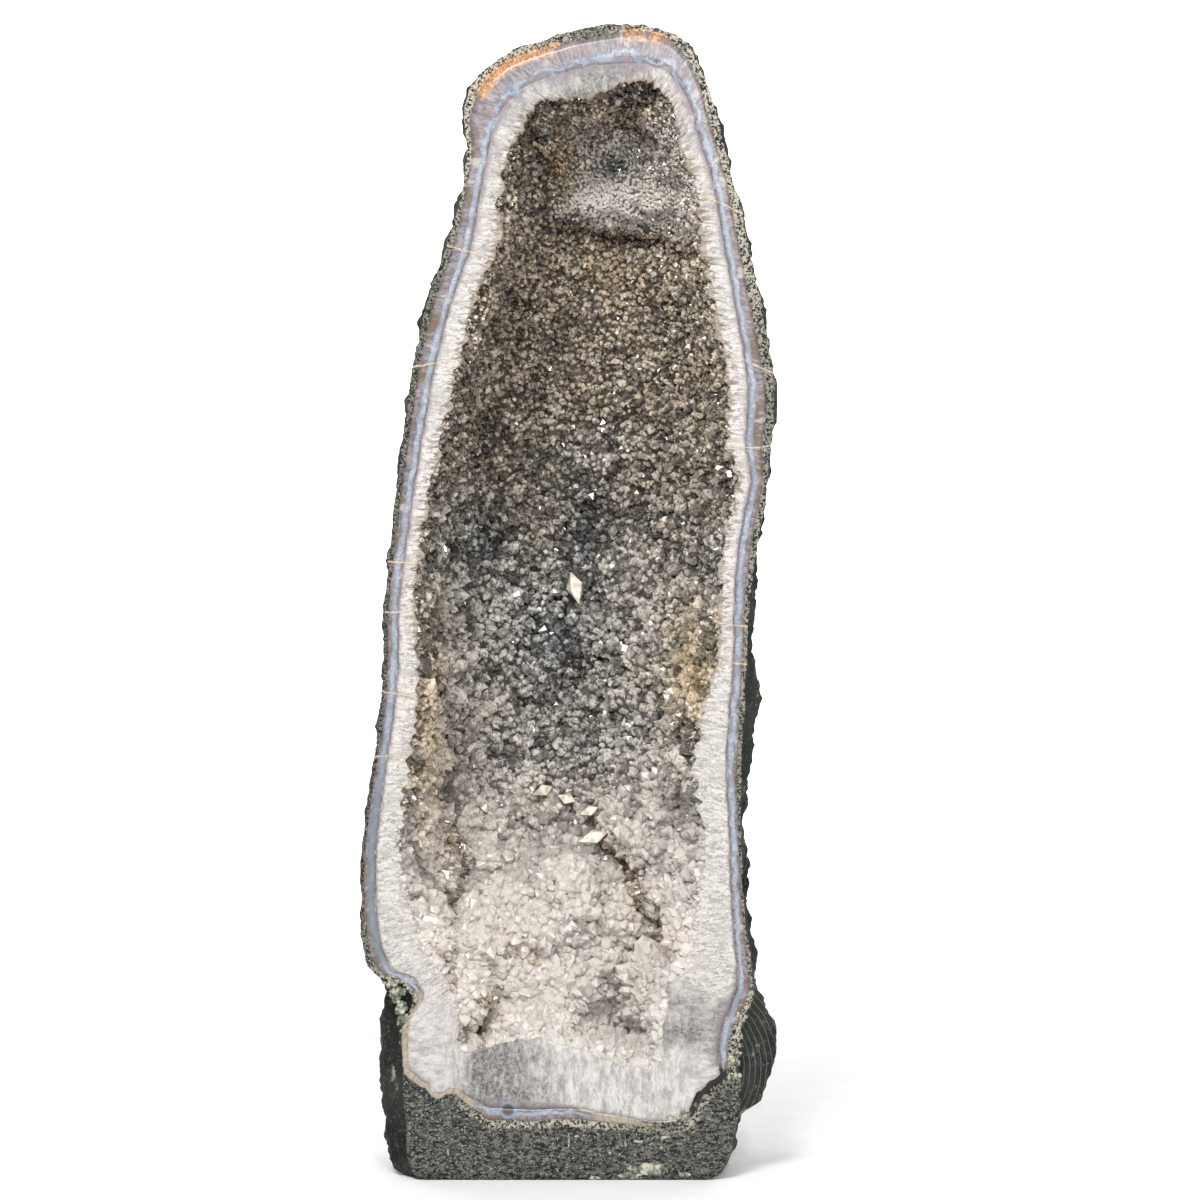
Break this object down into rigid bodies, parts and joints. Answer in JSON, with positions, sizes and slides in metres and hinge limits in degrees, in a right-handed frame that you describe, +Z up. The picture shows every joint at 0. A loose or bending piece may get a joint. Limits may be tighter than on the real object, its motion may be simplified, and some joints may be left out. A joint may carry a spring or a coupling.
{
  "type": "geode half",
  "caption": "Tall cathedral geode half on a sawn base: basalt rind, banded agate, and an open hollow lined with smoky quartz points and a few calcite crystals.",
  "frame": {"origin": "middle of the box round the object, at the level of its base", "axes": "+Z up, along the geode's length; -Y out of the sawn face and the open hollow; +X to the right of someone who looks into the hollow"},
  "size_m": [0.3258, 0.2409, 0.8999],
  "materials": {
    "basalt": "rough, sawn flat on the front and the base",
    "banded_agate": "polished where sawn",
    "smoky_quartz": "glossy crystal faces",
    "calcite": "satin crystal faces"
  },
  "bodies": {
    "root": {"basalt_shell": "basalt", "agate_band": "banded_agate", "crystal_crust": "smoky_quartz", "calcite_crystal_1": "calcite", "calcite_crystal_2": "calcite", "calcite_crystal_3": "calcite", "calcite_crystal_4": "calcite", "calcite_crystal_5": "calcite"}
  },
  "joints": []
}
